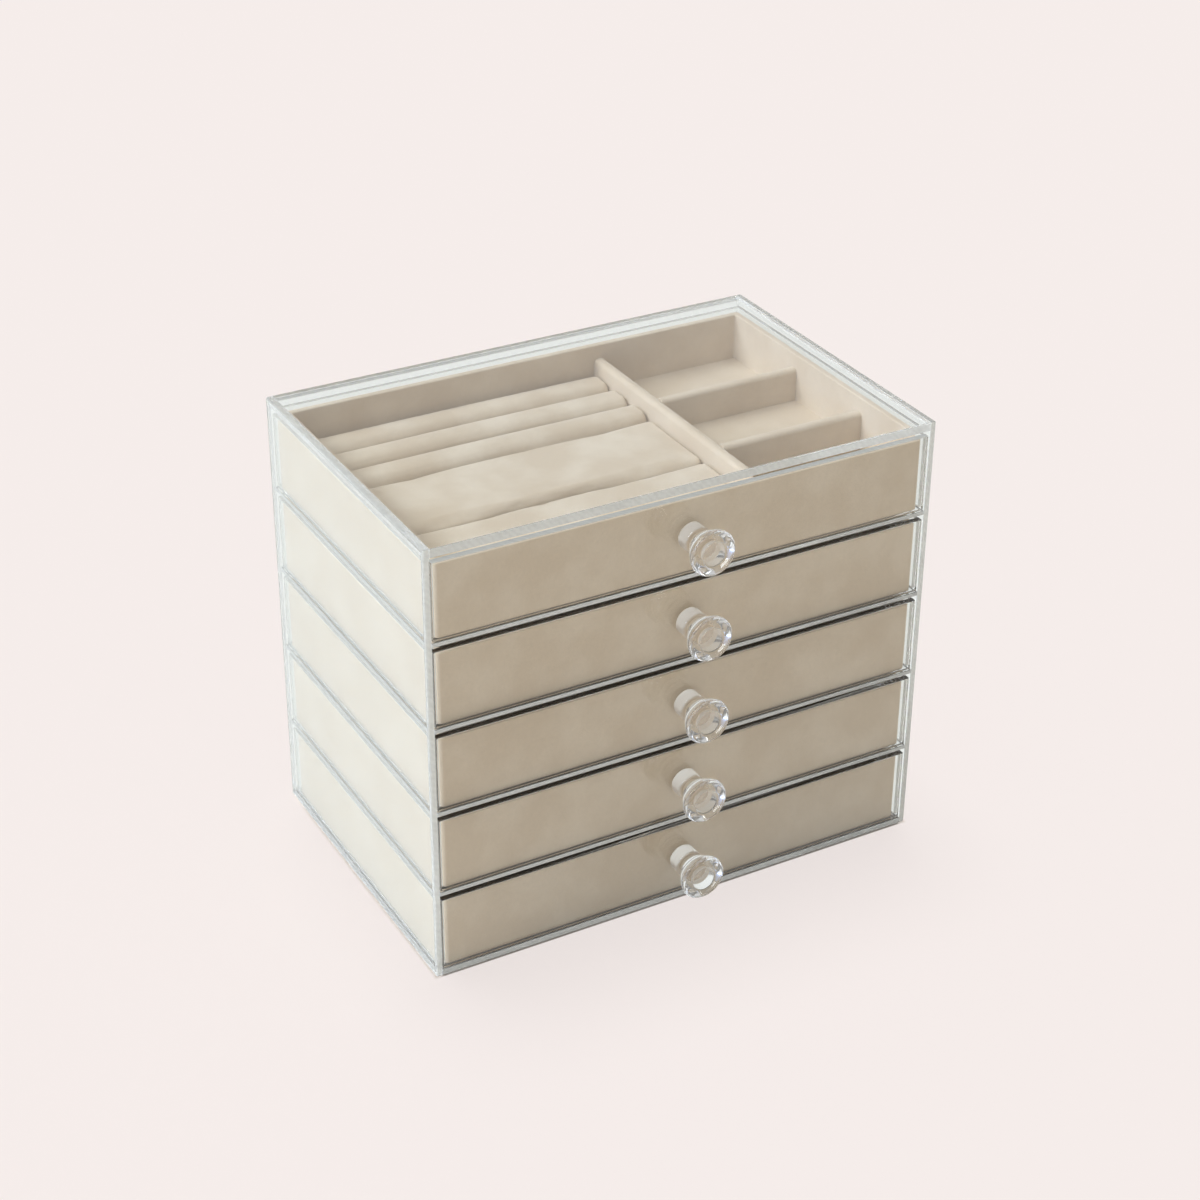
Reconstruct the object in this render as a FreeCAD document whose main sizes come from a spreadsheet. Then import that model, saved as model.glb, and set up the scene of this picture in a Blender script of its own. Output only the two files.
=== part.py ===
import FreeCAD, Part
import os
import Sketcher
from FreeCAD import Placement, Rotation, Vector

# Jewellery drawer organizer: a clear case with five sliding drawers that hold velvet trays.
# Millimetres, +Z up, the front towards -Y, the origin at the middle of the case's underside.

DRAWERS = 5

# How many compartments each column of a tray has, front to back, for the drawers below the top one
COLUMNS = {
    2: (2, 2, 2, 2),
    3: (2, 2, 2),
    4: (1, 2),
    5: (1, 1),
}
RING_ROLLS = 3
HALF_TURN = 180

# Driving dimensions
SIZES = (
    ("case_width", 240.0, "outside width of the case"),
    ("case_depth", 156.0, "outside depth of the case, without the knobs"),
    ("case_height", 205.0, "outside height of the case"),
    ("side_sheet", 3.0, "thickness of the side panels"),
    ("back_sheet", 3.0, "thickness of the back panel"),
    ("top_sheet", 4.0, "thickness of the top panel"),
    ("bottom_sheet", 3.0, "thickness of the bottom panel"),
    ("shelf_sheet", 2.0, "thickness of the shelves"),
    ("case_edge_radius", 1.2, "rounding of the side panels' outer edges"),
    ("bond_line", 0.04, "glue line between bonded sheets"),
    ("drawer_side_clearance", 0.6, "play between drawer and case, each side"),
    ("drawer_floor_clearance", 0.3, "play between drawer and shelf"),
    ("drawer_back_clearance", 0.8, "play between drawer and case back"),
    ("drawer_top_gap", 2.2, "gap above a drawer front"),
    ("drawer_front_sheet", 3.0, "thickness of the drawer fronts"),
    ("drawer_side_sheet", 1.6, "thickness of the drawer sides"),
    ("drawer_back_sheet", 1.6, "thickness of the drawer backs"),
    ("drawer_base_sheet", 1.0, "thickness of the drawer bases"),
    ("drawer_side_drop", 0.2, "how far the sides stop below the front's top edge"),
    ("front_edge_radius", 0.5, "rounding of the drawer fronts' outer edges"),
    ("liner_clearance", 0.3, "play between tray and drawer"),
    ("liner_wall", 3.0, "thickness of the tray walls, with their velvet"),
    ("liner_floor", 10.5, "thickness of the padded tray floor"),
    ("liner_top_gap", 4.2, "gap between a tray's rim and the sheet above it"),
    ("board_fit", 0.1, "gap between neighbouring velvet boards"),
    ("divider_thickness", 5.0, "thickness of the dividers, with their velvet"),
    ("divider_height", 15.3, "height of the dividers above the tray floor"),
    ("ring_bay_width", 147.9, "width of the top tray's bay for rolls and pads"),
    ("rear_compartment", 48.0, "depth of the top tray's rear compartment"),
    ("middle_compartment", 47.0, "depth of the top tray's middle compartment"),
    ("pad_fit", 0.3, "gap round the padded pieces"),
    ("ring_roll_width", 17.2, "pitch of the ring rolls"),
    ("ring_roll_height", 10.2, "height of a ring roll's crown above the tray floor"),
    ("ring_roll_shoulder", 5.6, "height at which neighbouring rolls meet"),
    ("middle_pad_width", 46.4, "front-to-back width of the middle pad with its gap"),
    ("pad_height", 8.6, "height of a flat pad's crown above the tray floor"),
    ("pad_shoulder", 6.0, "height of a flat pad's sides"),
    ("pad_side_draw", 0.5, "how far a pad's long sides draw in at mid length"),
    ("pad_end_length", 7.0, "length over which a padded piece rounds off at its ends"),
    ("knob_base_diameter", 12.5, "knob's base disc"),
    ("knob_base_length", 6.5, "thickness of the base disc"),
    ("knob_neck_diameter", 9.5, "knob's neck"),
    ("knob_neck_length", 3.5, "length of the neck"),
    ("knob_head_diameter", 20.5, "knob's head"),
    ("knob_head_back_diameter", 14.0, "back of the head, from where it widens"),
    ("knob_head_length", 8.6, "length of the head"),
    ("knob_head_rim", 2.6, "straight rim at the front of the head"),
    ("knob_recess_diameter", 10.6, "round recess in the head's face"),
    ("knob_recess_depth", 4.5, "depth of that recess"),
    ("knob_spigot_diameter", 6.0, "spigot that is bonded in the drawer front"),
    ("knob_spigot_fit", 0.1, "gap round the spigot"),
    ("knob_edge_radius", 1.6, "rounding of the head's edges"),
    ("knob_rim_radius", 0.8, "rounding of the base disc and of the recess"),
)

# Sizes that follow from the driving ones
FITS = (
    ("cell_height", f"(sizes.case_height - sizes.top_sheet - sizes.bottom_sheet"
                    f" - {DRAWERS - 1} * sizes.shelf_sheet) / {DRAWERS}"),
    ("cell_pitch", "cell_height + sizes.shelf_sheet"),
    ("front_y", "-sizes.case_depth / 2"),
    ("back_y", "sizes.case_depth / 2 - sizes.back_sheet"),
    ("inside_half", "sizes.case_width / 2 - sizes.side_sheet"),
    ("sheet_half", "inside_half - sizes.bond_line"),
    ("drawer_half", "inside_half - sizes.drawer_side_clearance"),
    ("drawer_height", "cell_height - sizes.drawer_floor_clearance - sizes.drawer_top_gap"),
    ("drawer_back_y", "back_y - sizes.drawer_back_clearance"),
    ("box_front_y", "front_y + sizes.drawer_front_sheet + sizes.bond_line"),
    ("box_floor_z", "sizes.drawer_floor_clearance + sizes.drawer_base_sheet"),
    ("side_foot_z", "box_floor_z + sizes.bond_line"),
    ("side_height", "sizes.drawer_floor_clearance + drawer_height - sizes.drawer_side_drop - side_foot_z"),
    ("side_inner", "drawer_half - sizes.drawer_side_sheet"),
    ("liner_half", "side_inner - sizes.liner_clearance"),
    ("liner_front_y", "front_y + sizes.drawer_front_sheet + sizes.liner_clearance"),
    ("liner_back_y", "drawer_back_y - sizes.drawer_back_sheet - sizes.liner_clearance"),
    ("liner_foot_z", "box_floor_z + sizes.bond_line"),
    ("tray_floor_z", "liner_foot_z + sizes.liner_floor"),
    ("wall_foot_z", "tray_floor_z + sizes.board_fit"),
    ("wall_height", "cell_height - sizes.liner_top_gap - wall_foot_z"),
    ("tray_half", "liner_half - sizes.liner_wall"),
    ("tray_front_y", "liner_front_y + sizes.liner_wall"),
    ("tray_back_y", "liner_back_y - sizes.liner_wall"),
    ("tray_depth", "tray_back_y - tray_front_y"),
    ("base_front_y", "tray_front_y + sizes.board_fit"),
    ("front_wall_foot_z", "sizes.drawer_floor_clearance + sizes.board_fit"),
    ("front_wall_height", "cell_height - sizes.liner_top_gap - front_wall_foot_z"),
    ("bay_end", "sizes.ring_bay_width - tray_half"),
    ("knob_z", "sizes.drawer_floor_clearance + drawer_height / 2"),
    ("spigot_length", "sizes.drawer_front_sheet"),
    ("neck_start", "sizes.knob_base_length"),
    ("head_start", "neck_start + sizes.knob_neck_length"),
    ("head_end", "head_start + sizes.knob_head_length"),
    ("rim_start", "head_end - sizes.knob_head_rim"),
)

# Where a padded piece is cut across: how far along its rounded end, and how full it is there
END_LENGTH_SHARES = (0.0, 0.15, 0.45, 1.0)
END_CROWN_SHARES = (0.15, 0.6, 0.92, 1.0)
END_INSET_SHARES = (1.0, 0.4, 0.1, 0.0)
END_INSET_SHARE = 0.12

doc = FreeCAD.newDocument("jewellery_drawer_organizer")
sizes = doc.addObject("Spreadsheet::Sheet", "sizes")
fits = doc.addObject("Spreadsheet::Sheet", "fits")
nodes = []


def fill_sheets():
    for row, (name, value, note) in enumerate(SIZES, start=1):
        sizes.set(f"A{row}", note)
        sizes.set(f"B{row}", str(value))
        sizes.setAlias(f"B{row}", name)
    doc.recompute()
    for row, (name, formula) in enumerate(FITS, start=1):
        fits.set(f"A{row}", name.replace("_", " "))
        fits.set(f"B{row}", "=" + formula)
        fits.setAlias(f"B{row}", name)
        doc.recompute()


def number(formula):
    return float(fits.evalExpression(formula))


def bind_place(piece, low):
    for axis, formula in zip("xyz", low):
        piece.setExpression(f"Placement.Base.{axis}", formula)


def board(label, low, size):
    """A plain board between square faces: its low corner and its size, each as three formulas."""
    box = doc.addObject("Part::Box", label)
    box.Label = label
    for side, formula in zip(("Length", "Width", "Height"), size):
        box.setExpression(side, formula)
    bind_place(box, low)
    return box


def group(label, boards):
    bundle = doc.addObject("Part::Compound", label)
    bundle.Label = label
    bundle.Links = boards
    return bundle


def keep(piece):
    nodes.append(piece)
    return piece


def plane_of(body, role):
    return next(item for item in body.Origin.OriginFeatures if item.Role == role)


def sketch_on(body, role, name):
    sketch = body.newObject("Sketcher::SketchObject", name)
    sketch.AttachmentSupport = [(plane_of(body, role), "")]
    sketch.MapMode = "FlatFace"
    return sketch


def tie_point(sketch, line, across, up):
    """Hold the start of a line at two formulas from the sketch's origin, or on its axes for "0"."""
    for kind, axis, formula in (("DistanceX", -2, across), ("DistanceY", -1, up)):
        if formula == "0":
            sketch.addConstraint(Sketcher.Constraint("PointOnObject", line, 1, axis))
            continue
        index = sketch.addConstraint(Sketcher.Constraint(kind, -1, 1, line, 1, number(formula)))
        sketch.setExpression(f"Constraints[{index}]", formula)


def outline(sketch, corners):
    """A closed outline of straight lines through corners given as pairs of formulas."""
    points = [Vector(number(across), number(up), 0) for across, up in corners]
    count = len(points)
    for index, point in enumerate(points):
        sketch.addGeometry(Part.LineSegment(point, points[(index + 1) % count]))
    for index in range(count):
        sketch.addConstraint(Sketcher.Constraint("Coincident", index, 2, (index + 1) % count, 1))
    for index, (across, up) in enumerate(corners):
        tie_point(sketch, index, across, up)


def round_edges(body, base, name, radius, wanted):
    """Round those edges of a feature for which wanted says yes."""
    doc.recompute()
    names = [f"Edge{index}" for index, edge in enumerate(base.Shape.Edges, start=1) if wanted(edge)]
    rounding = body.newObject("PartDesign::Fillet", name)
    rounding.Base = (base, names)
    rounding.setExpression("Radius", radius)
    return rounding


def on_plane(axis, level):
    """Say whether an edge lies in a plane square to an axis."""
    def test(edge):
        return all(abs(getattr(vertex.Point, axis) - level) < Part.Precision.confusion()
                   for vertex in edge.Vertexes)
    return test


def on_circle(*diameters):
    """Say whether an edge is a full circle of one of these diameters."""
    radii = [number(diameter) / 2 for diameter in diameters]

    def test(edge):
        if edge.Curve.TypeId != "Part::GeomCircle" or not edge.isClosed():
            return False
        return any(abs(edge.Curve.Radius - radius) < Part.Precision.confusion() for radius in radii)
    return test


def slab(label, low, size):
    """A board as a padded rectangle, ready for holes and rounded edges."""
    body = doc.addObject("PartDesign::Body", label)
    body.Label = label
    width, depth, height = size
    sketch = sketch_on(body, "XY_Plane", label + "_outline")
    outline(sketch, (("0", "0"), (width, "0"), (width, depth), ("0", depth)))
    pad = body.newObject("PartDesign::Pad", label + "_sheet")
    pad.Profile = sketch
    pad.setExpression("Length", height)
    bind_place(body, low)
    doc.recompute()
    return body, pad


def make_case():
    side_size = ("sizes.side_sheet", "sizes.case_depth", "sizes.case_height")
    left, pad = slab("case_left_panel", ("-sizes.case_width / 2", "fits.front_y", "0"), side_size)
    round_edges(left, pad, "left_rounding", "sizes.case_edge_radius", on_plane("x", 0))
    keep(left)

    right, pad = slab("case_right_panel", ("fits.inside_half", "fits.front_y", "0"), side_size)
    outer_face = on_plane("x", number("sizes.side_sheet"))
    round_edges(right, pad, "right_rounding", "sizes.case_edge_radius", outer_face)
    keep(right)

    width = "2 * fits.sheet_half"
    keep(board("case_bottom_panel", ("-fits.sheet_half", "fits.front_y", "0"),
               (width, "sizes.case_depth", "sizes.bottom_sheet")))
    top_foot = "sizes.case_height - sizes.top_sheet"
    keep(board("case_top_panel", ("-fits.sheet_half", "fits.front_y", top_foot),
               (width, "sizes.case_depth", "sizes.top_sheet")))
    back_foot = "sizes.bottom_sheet + sizes.bond_line"
    keep(board("case_back_panel", ("-fits.sheet_half", "fits.back_y", back_foot),
               (width, "sizes.back_sheet", f"{top_foot} - sizes.bond_line - ({back_foot})")))
    for shelf in range(1, DRAWERS):
        level = f"{cell_floor(shelf)} - sizes.shelf_sheet"
        keep(board(f"case_shelf_{shelf}", ("-fits.sheet_half", "fits.front_y", level),
                   (width, "sizes.case_depth - sizes.back_sheet - sizes.bond_line", "sizes.shelf_sheet")))


def cell_floor(drawer):
    """Height of the floor on which a drawer runs, counted from the top drawer down."""
    return f"sizes.bottom_sheet + {DRAWERS - drawer} * fits.cell_pitch"


def above(drawer, formula):
    return f"{cell_floor(drawer)} + {formula}"


def make_drawer_box(drawer):
    name = f"drawer_{drawer}_"
    runner = above(drawer, "sizes.drawer_floor_clearance")
    width = "2 * fits.drawer_half"
    front, pad = slab(name + "front", ("-fits.drawer_half", "fits.front_y", runner),
                      (width, "sizes.drawer_front_sheet", "fits.drawer_height"))
    rounded = round_edges(front, pad, name + "front_rounding", "sizes.front_edge_radius", on_plane("y", 0))
    drill_front(front, rounded, name)
    keep(front)

    side_depth = "fits.drawer_back_y - fits.box_front_y"
    foot = above(drawer, "fits.side_foot_z")
    side_size = ("sizes.drawer_side_sheet", side_depth, "fits.side_height")
    keep(board(name + "left_side", ("-fits.drawer_half", "fits.box_front_y", foot), side_size))
    keep(board(name + "right_side", ("fits.side_inner", "fits.box_front_y", foot), side_size))
    back_half = "(fits.side_inner - sizes.bond_line)"
    keep(board(name + "back", ("-" + back_half, "fits.drawer_back_y - sizes.drawer_back_sheet", foot),
               ("2 * " + back_half, "sizes.drawer_back_sheet", "fits.side_height")))
    keep(board(name + "base", ("-fits.drawer_half", "fits.base_front_y", runner),
               (width, "fits.drawer_back_y - fits.base_front_y", "sizes.drawer_base_sheet")))


def drill_front(front, base, name):
    """The hole through a drawer front that takes the knob's spigot."""
    doc.recompute()
    sketch = sketch_on(front, "XZ_Plane", name + "hole_outline")
    radius = "sizes.knob_spigot_diameter / 2 + sizes.knob_spigot_fit"
    centre = Vector(number("fits.drawer_half"), number("fits.drawer_height / 2"), 0)
    sketch.addGeometry(Part.Circle(centre, Vector(0, 0, 1), number(radius)))
    for kind, formula in (("DistanceX", "fits.drawer_half"), ("DistanceY", "fits.drawer_height / 2")):
        index = sketch.addConstraint(Sketcher.Constraint(kind, -1, 1, 0, 3, number(formula)))
        sketch.setExpression(f"Constraints[{index}]", formula)
    index = sketch.addConstraint(Sketcher.Constraint("Radius", 0, number(radius)))
    sketch.setExpression(f"Constraints[{index}]", radius)
    hole = front.newObject("PartDesign::Pocket", name + "hole")
    hole.Profile = sketch
    hole.Type = "ThroughAll"
    hole.Midplane = True
    doc.recompute()
    if hole.Shape.Volume >= base.Shape.Volume:
        raise RuntimeError(name + "hole cuts nothing")


def make_knob(drawer):
    """A clear knob turned about its own axis, which points out of the drawer front."""
    label = f"drawer_{drawer}_knob"
    body = doc.addObject("PartDesign::Body", label)
    body.Label = label
    sketch = sketch_on(body, "XY_Plane", label + "_profile")
    spigot = "sizes.knob_spigot_diameter / 2"
    disc = "sizes.knob_base_diameter / 2"
    neck = "sizes.knob_neck_diameter / 2"
    back = "sizes.knob_head_back_diameter / 2"
    head = "sizes.knob_head_diameter / 2"
    recess = "sizes.knob_recess_diameter / 2"
    # Distances run from the inner end of the spigot
    start = "fits.spigot_length + sizes.bond_line"
    recess_floor = f"{start} + fits.head_end - sizes.knob_recess_depth"
    outline(sketch, (
        ("0", "0"),
        (spigot, "0"),
        (spigot, start),
        (disc, start),
        (disc, f"{start} + fits.neck_start"),
        (neck, f"{start} + fits.neck_start"),
        (neck, f"{start} + fits.head_start"),
        (back, f"{start} + fits.head_start"),
        (head, f"{start} + fits.rim_start"),
        (head, f"{start} + fits.head_end"),
        (recess, f"{start} + fits.head_end"),
        (recess, recess_floor),
        ("0", recess_floor),
    ))
    turned = body.newObject("PartDesign::Revolution", label + "_turned")
    turned.Profile = sketch
    turned.ReferenceAxis = (sketch, ["V_Axis"])
    doc.recompute()

    softened = round_edges(body, turned, label + "_head_rounding", "sizes.knob_edge_radius",
                           on_circle("sizes.knob_head_diameter"))
    round_edges(body, softened, label + "_rim_rounding", "sizes.knob_rim_radius",
                on_circle("sizes.knob_base_diameter", "sizes.knob_head_back_diameter",
                          "sizes.knob_recess_diameter"))
    body.Placement = Placement(Vector(), Rotation(Vector(0, 0, 1), HALF_TURN))
    bind_place(body, ("0", "fits.front_y + sizes.drawer_front_sheet", above(drawer, "fits.knob_z")))
    keep(body)


def make_liner(drawer):
    """A tray on the drawer's base: its front wall reaches down in front of the floor and the base."""
    name = f"drawer_{drawer}_"
    width = "2 * fits.liner_half"
    floor_foot = above(drawer, "fits.liner_foot_z")
    keep(board(name + "liner_floor", ("-fits.liner_half", "fits.base_front_y", floor_foot),
               (width, "fits.liner_back_y - fits.base_front_y", "sizes.liner_floor")))
    foot = above(drawer, "fits.wall_foot_z")
    front_foot = above(drawer, "fits.front_wall_foot_z")
    front_size = (width, "sizes.liner_wall", "fits.front_wall_height")
    back_size = (width, "sizes.liner_wall", "fits.wall_height")
    short_size = ("sizes.liner_wall", "fits.tray_depth - 2 * sizes.board_fit", "fits.wall_height")
    short_y = "fits.tray_front_y + sizes.board_fit"
    keep(group(name + "liner_walls", [
        board(name + "liner_front_wall", ("-fits.liner_half", "fits.liner_front_y", front_foot), front_size),
        board(name + "liner_back_wall", ("-fits.liner_half", "fits.tray_back_y", foot), back_size),
        board(name + "liner_left_wall", ("-fits.liner_half", short_y, foot), short_size),
        board(name + "liner_right_wall", ("fits.tray_half", short_y, foot), short_size),
    ]))


def divider_row(drawer, start, width, cuts, prefix):
    """Cross boards in one column of a tray: each cut is the formula of its board's rear face."""
    foot = above(drawer, "fits.wall_foot_z")
    size = (f"{width} - 2 * sizes.board_fit", "sizes.divider_thickness", "sizes.divider_height")
    boards = []
    for index, cut in enumerate(cuts, start=1):
        low = (f"{start} + sizes.board_fit", f"{cut} - sizes.divider_thickness", foot)
        boards.append(board(f"{prefix}_{index}", low, size))
    return boards


def long_divider(drawer, start, label):
    low = (start, "fits.tray_front_y + sizes.board_fit", above(drawer, "fits.wall_foot_z"))
    size = ("sizes.divider_thickness", "fits.tray_depth - 2 * sizes.board_fit", "sizes.divider_height")
    return board(label, low, size)


def make_top_dividers():
    """The top tray: one long board, and two cross boards that part its right side into three."""
    right_start = "fits.bay_end + sizes.divider_thickness"
    first_cut = "fits.tray_back_y - sizes.rear_compartment"
    second_cut = f"{first_cut} - sizes.divider_thickness - sizes.middle_compartment"
    boards = [long_divider(1, "fits.bay_end", "drawer_1_long_divider")]
    boards += divider_row(1, right_start, f"fits.tray_half - ({right_start})", (first_cut, second_cut),
                          "drawer_1_cross_divider")
    keep(group("drawer_1_dividers", boards))


def make_even_dividers(drawer, columns):
    """A tray with columns of one width, each parted into its own number of equal compartments."""
    count = len(columns)
    column = f"(2 * fits.tray_half - {count - 1} * sizes.divider_thickness) / {count}"
    boards = []
    for index, rows in enumerate(columns):
        start = f"-fits.tray_half + {index} * ({column} + sizes.divider_thickness)"
        if index:
            boards.append(long_divider(drawer, f"{start} - sizes.divider_thickness",
                                       f"drawer_{drawer}_long_divider_{index}"))
        row = f"(fits.tray_depth - {rows - 1} * sizes.divider_thickness) / {rows}"
        step = f"({row} + sizes.divider_thickness)"
        cuts = [f"fits.tray_back_y - {row} - {cut} * {step}" for cut in range(rows - 1)]
        boards += divider_row(drawer, start, column, cuts, f"drawer_{drawer}_cross_divider_{index + 1}")
    keep(group(f"drawer_{drawer}_dividers", boards))


def padded_section(along, near, far, foot, shoulder, crown):
    """A cut across a padded piece: flat below, straight up its sides, and an arc over the top."""
    places = ((near, foot), (far, foot), (far, shoulder), (near, shoulder))
    corners = [Vector(along, y, z) for y, z in places]
    peak = Vector(along, (near + far) / 2, crown)
    edges = [
        Part.LineSegment(corners[0], corners[1]),
        Part.LineSegment(corners[1], corners[2]),
        Part.Arc(corners[2], peak, corners[3]),
        Part.LineSegment(corners[3], corners[0]),
    ]
    return Part.Wire([edge.toShape() for edge in edges])


def padded_piece(label, rear, width, shoulder, height, side_draw):
    """A padded bar along the ring bay: crowned, rounded off at both ends, its long sides drawn in."""
    fit = sizes.pad_fit
    length = sizes.ring_bay_width - 2 * fit
    shape_width = width - fit
    stations = []
    for share, crown, inset in zip(END_LENGTH_SHARES, END_CROWN_SHARES, END_INSET_SHARES):
        stations.append((share * sizes.pad_end_length, crown, inset, 0))
    stations.append((length / 2, 1, 0, side_draw))
    for along, crown, inset, draw in reversed(stations[:-1]):
        stations.append((length - along, crown, inset, draw))
    wires = []
    for along, crown, inset, draw in stations:
        inwards = inset * END_INSET_SHARE * shoulder + draw
        top = shoulder + crown * (height - shoulder)
        wires.append(padded_section(along, inwards - shape_width, -inwards, 0, shoulder - inwards, top))
    piece = doc.addObject("Part::Feature", label)
    piece.Label = label
    piece.Shape = Part.makeLoft(wires, True, True)
    floor = number(above(1, "fits.tray_floor_z + sizes.pad_fit"))
    piece.Placement = Placement(Vector(fit - fits.tray_half, rear, floor), Rotation())
    keep(piece)


def make_padding():
    """Three ring rolls from the back of the bay, then the middle pad, then the front pad."""
    rear = fits.tray_back_y - sizes.pad_fit
    for roll in range(1, RING_ROLLS + 1):
        padded_piece(f"drawer_1_ring_roll_{roll}", rear, sizes.ring_roll_width, sizes.ring_roll_shoulder,
                     sizes.ring_roll_height, 0)
        rear -= sizes.ring_roll_width
    padded_piece("drawer_1_middle_pad", rear, sizes.middle_pad_width, sizes.pad_shoulder, sizes.pad_height,
                 sizes.pad_side_draw)
    rear -= sizes.middle_pad_width
    padded_piece("drawer_1_front_pad", rear, rear - fits.tray_front_y, sizes.pad_shoulder, sizes.pad_height,
                 sizes.pad_side_draw)


def write_nodes():
    doc.recompute()
    for item in doc.Objects:
        if "Invalid" in item.State or "Error" in item.State:
            raise RuntimeError(f"{item.Label} failed: {item.State}")
    os.makedirs("parts", exist_ok=True)
    for node in nodes:
        if node.Shape.isNull() or not node.Shape.isValid():
            raise RuntimeError(f"{node.Label} has no valid shape")
    for node in nodes:
        node.Shape.exportStep(f"parts/{node.Label}.step")
    print(len(nodes), "nodes written")


fill_sheets()
make_case()
for drawer in range(1, DRAWERS + 1):
    make_drawer_box(drawer)
    make_knob(drawer)
    make_liner(drawer)
make_top_dividers()
for drawer, columns in COLUMNS.items():
    make_even_dividers(drawer, columns)
make_padding()
write_nodes()
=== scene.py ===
"""Dresses a clear five-drawer organizer: polished sheets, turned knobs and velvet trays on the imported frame."""

import math

import bmesh
import bpy
from bpy.props import FloatProperty, FloatVectorProperty, IntProperty, PointerProperty
from mathutils import Euler, Matrix, Vector


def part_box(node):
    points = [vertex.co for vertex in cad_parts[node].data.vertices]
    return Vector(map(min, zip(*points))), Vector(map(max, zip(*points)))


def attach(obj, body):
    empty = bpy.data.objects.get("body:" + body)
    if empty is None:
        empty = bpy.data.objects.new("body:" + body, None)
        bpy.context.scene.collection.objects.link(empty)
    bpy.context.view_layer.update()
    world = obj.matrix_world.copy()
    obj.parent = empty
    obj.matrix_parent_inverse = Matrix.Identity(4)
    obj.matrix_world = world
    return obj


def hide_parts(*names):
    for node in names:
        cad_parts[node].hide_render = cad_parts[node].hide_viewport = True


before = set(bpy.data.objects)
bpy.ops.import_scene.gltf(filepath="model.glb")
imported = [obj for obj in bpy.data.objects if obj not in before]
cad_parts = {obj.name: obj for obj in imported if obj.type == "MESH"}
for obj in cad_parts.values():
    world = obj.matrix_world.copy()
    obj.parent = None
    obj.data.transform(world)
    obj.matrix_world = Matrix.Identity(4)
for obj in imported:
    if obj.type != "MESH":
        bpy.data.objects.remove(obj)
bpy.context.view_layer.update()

bl_info = {
    "name": "Clear drawer organizer",
    "version": (1, 0, 0),
    "blender": (4, 5, 0),
    "location": "View3D > Sidebar > Organizer",
    "description": "Dresses a clear five-drawer organizer with polished sheets, turned knobs and velvet trays",
    "category": "Object",
}

# The nodes of the CAD, by the way they are dressed
DRAWERS = range(1, 6)
CASE_BOARDS = ("top_panel", "bottom_panel", "back_panel", "shelf_1", "shelf_2", "shelf_3", "shelf_4")
CASE_SIDES = ("left_panel", "right_panel")
DRAWER_BOARDS = ("left_side", "right_side", "back", "base")
RING_ROLLS = ("ring_roll_1", "ring_roll_2", "ring_roll_3")
FLAT_PADS = ("middle_pad", "front_pad")

# The boards that lamps don't shine through, so that the gaps between the drawers stay dark
DARK_BOARDS = ("bottom_panel", "shelf_2", "shelf_3", "shelf_4", "base")

# The places of the finishes on a sheet, and of those on a knob that differ from its turned surface
POLISHED, SAWN, RUBBED, GROUND_PAINTED_SHADE = range(4)
KNOB_RECESS, KNOB_FOOT = 1, 2

# How full the padding is
ROLL_FILL = 0.8
PAD_FILL = 0.5

# Steps of a rounding, from a sheet's fine edge to a tray's corner
FINE_STEPS, SMALL_STEPS, RIM_STEPS, TURNED_STEPS, ROUND_STEPS = range(2, 7)

TOUCHING = 1e-6  # metres within which two places are one
CUT_REACH = 1e-7  # metres within which a cut goes through a corner
DIVIDER_ROOM = 0.0001  # metres between a divider's end and the tray's wall
SQUARE = math.radians(60)  # an edge that turns by more than this is a square one
ALONG = 0.99  # share of its length that an edge or a normal has along an axis, to run along it
FLAT = 0.98  # the same, for a normal of a sheet's flat face
SLOPING = 0.5  # the same, for a normal of a face that looks up or down
WAVES_PER_SCALE = 3.18  # bands of a wave texture in a metre, for each unit of its scale


# Settings

class ClearSheetSettings(bpy.types.PropertyGroup):
    """The clear acrylic sheets of the case and the drawers."""

    tint: FloatVectorProperty(name="Tint", description="Colour that the sheet gives to light",
                              subtype="COLOR", min=0, max=1, default=(0.985, 0.99, 0.985))
    gloss_low: FloatProperty(name="Clean roughness", description="Roughness where the sheet is clean",
                             subtype="FACTOR", min=0, max=1, default=0.0)
    gloss_high: FloatProperty(name="Wiped roughness",
                              description="Roughness where the sheet has been wiped",
                              subtype="FACTOR", min=0, max=1, default=0.06)
    refraction: FloatProperty(name="Refraction", description="Index of refraction of acrylic",
                              min=1, max=2, default=1.49)
    edge_radius: FloatProperty(name="Edge radius", description="Polished rounding of a sheet's edges",
                               unit="LENGTH", min=0, default=0.0003)
    case_radius: FloatProperty(name="Case radius", description="Rounding of the case's outer edges",
                               unit="LENGTH", min=0, default=0.0012)
    front_radius: FloatProperty(name="Front radius", description="Rounding of a drawer front's outer edges",
                                unit="LENGTH", min=0, default=0.0005)
    edge_tint: FloatVectorProperty(name="Edge tint", description="Colour that a sawn edge gives to light",
                                   subtype="COLOR", min=0, max=1, default=(0.90, 0.92, 0.905))
    edge_shade: FloatVectorProperty(name="Edge shade", description="Colour in the marks of a sawn edge",
                                    subtype="COLOR", min=0, max=1, default=(0.64, 0.665, 0.65))
    edge_clear: FloatProperty(name="Edge clarity",
                              description="Share of light that a sawn edge doesn't scatter",
                              subtype="FACTOR", min=0, max=1, default=0.5)
    rubbed_clear: FloatProperty(name="Rubbed clarity",
                                description="Share of light that a rubbed edge doesn't scatter",
                                subtype="FACTOR", min=0, max=1, default=0.72)
    ground_mirror: FloatVectorProperty(name="Ground mirror",
                                       description="Colour of that edge's reflections from within",
                                       subtype="COLOR", min=0, max=1, default=(0.64, 0.62, 0.59))
    # Painted shade: the near-black of a front's lower edge stands in for the dark gap below it
    painted_gap_shade: FloatVectorProperty(name="Painted gap shade",
                                     description="Colour of a front's ground lower edge",
                                     subtype="COLOR", min=0, max=1, default=(0.05, 0.036, 0.024))
    saw_mark: FloatProperty(name="Saw mark", description="Distance between the fine marks on a sawn edge",
                            unit="LENGTH", min=0.0001, default=0.0016)
    saw_depth: FloatProperty(name="Saw depth", description="Depth of the fine marks on a sawn edge",
                             unit="LENGTH", min=0, default=0.0002)


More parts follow.
